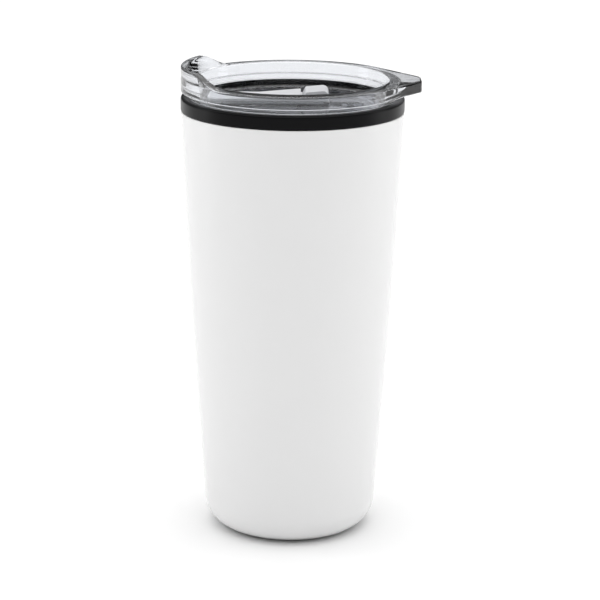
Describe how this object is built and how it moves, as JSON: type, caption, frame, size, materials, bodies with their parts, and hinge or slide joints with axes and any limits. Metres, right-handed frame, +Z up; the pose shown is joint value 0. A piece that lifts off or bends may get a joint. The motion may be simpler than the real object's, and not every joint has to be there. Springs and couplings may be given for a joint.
{
  "type": "insulated tumbler with lid",
  "caption": "Tapered double-wall tumbler with a white steel shell, black liner and collar, and a clear push-in lid with a raised drinking lip, pry tab and sliding closure.",
  "frame": {"origin": "on the cup's axis at its flat underside, which stands on the table", "axes": "+Z up along the cup's axis, the drinking lip at -X, the pry tab at +X"},
  "size_m": [0.0955, 0.089, 0.1905],
  "materials": {
    "white_coat": "gloss",
    "bare_steel": "brushed",
    "black_liner": "satin",
    "black_collar": "satin",
    "dark_silicone": "matt",
    "clear_silicone": "matt translucent",
    "clear_plastic": "clear gloss",
    "frosted_plastic": "frosted"
  },
  "bodies": {
    "cup": {"outer_shell": "white_coat", "base_cap": "bare_steel", "liner": "black_liner", "collar": "black_collar", "rim_seal": "dark_silicone"},
    "gasket": {"lid_gasket": "clear_silicone"},
    "lid": {"lid_body": "clear_plastic"},
    "closure": {"slide": "frosted_plastic", "slide_seal": "clear_silicone", "slide_clip": "frosted_plastic"}
  },
  "joints": [
    {"name": "lid_lift", "type": "slide", "parent": "cup", "child": "gasket", "axis": [0, 0, 1], "range_m": [0, 0.06]},
    {"name": "lid_turn", "type": "hinge", "parent": "gasket", "child": "lid", "pos_m": [0, 0, 0], "axis": [0, 0, 1], "continuous": true},
    {"name": "slide_travel", "type": "slide", "parent": "lid", "child": "closure", "axis": [1, 0, 0], "range_m": [0, 0.013]}
  ]
}
